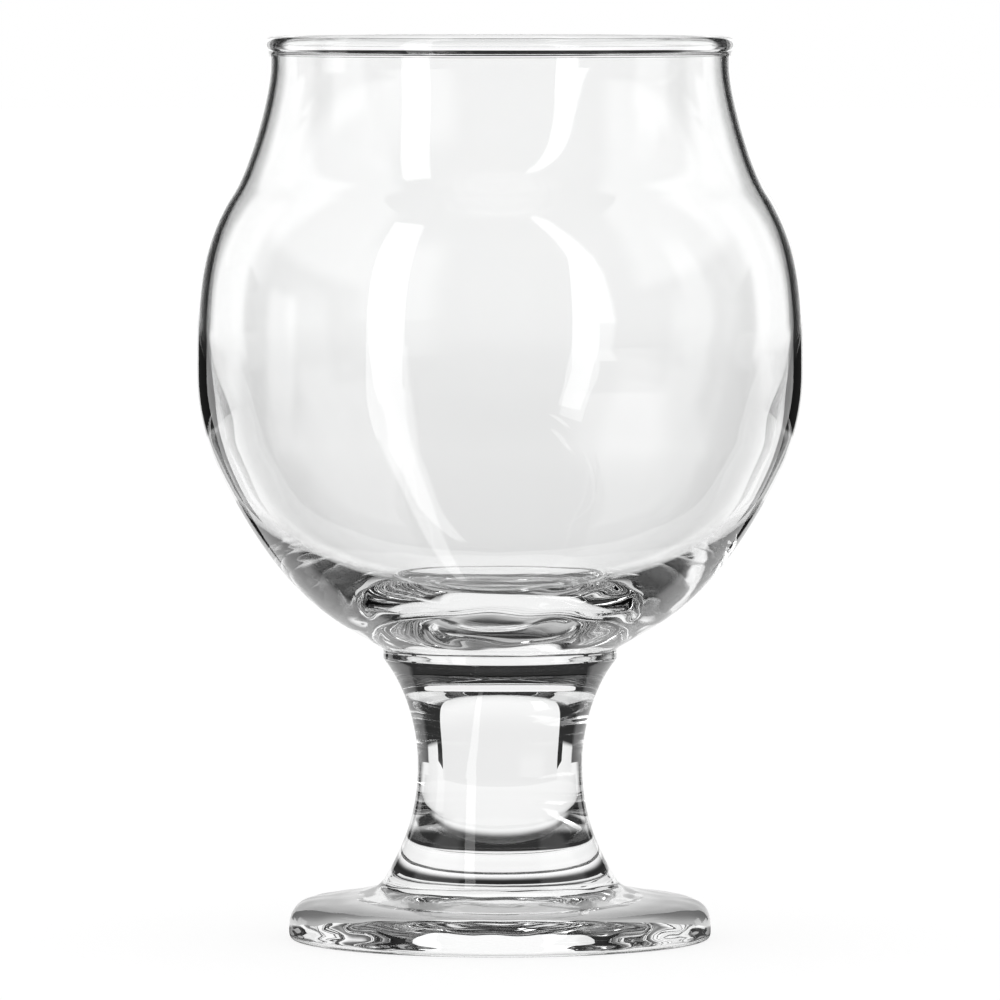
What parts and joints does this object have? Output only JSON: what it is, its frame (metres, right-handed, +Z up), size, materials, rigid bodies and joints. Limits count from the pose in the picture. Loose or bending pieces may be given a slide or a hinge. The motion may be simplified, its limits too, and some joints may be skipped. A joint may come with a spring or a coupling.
{
  "type": "beer taster glass",
  "caption": "Small stemmed tulip glass in clear glass: blown bowl with a beaded lip and heavy floor, solid waisted stem, round foot. Holds a tasting pour of beer.",
  "frame": {"origin": "on the axis of the glass, in the plane that the foot stands on", "axes": "+Z up along the axis of the glass, from the foot to the lip; X and Y are free, because the glass is round"},
  "size_m": [0.0702, 0.0702, 0.1048],
  "materials": {
    "bowl_glass": "clear blown glass, fire-polished inside and out",
    "pressed_glass": "clear pressed glass, fire-polished, with faint chill ripples"
  },
  "bodies": {
    "root": {"bowl": "bowl_glass", "stem": "pressed_glass", "foot": "pressed_glass"}
  },
  "joints": []
}
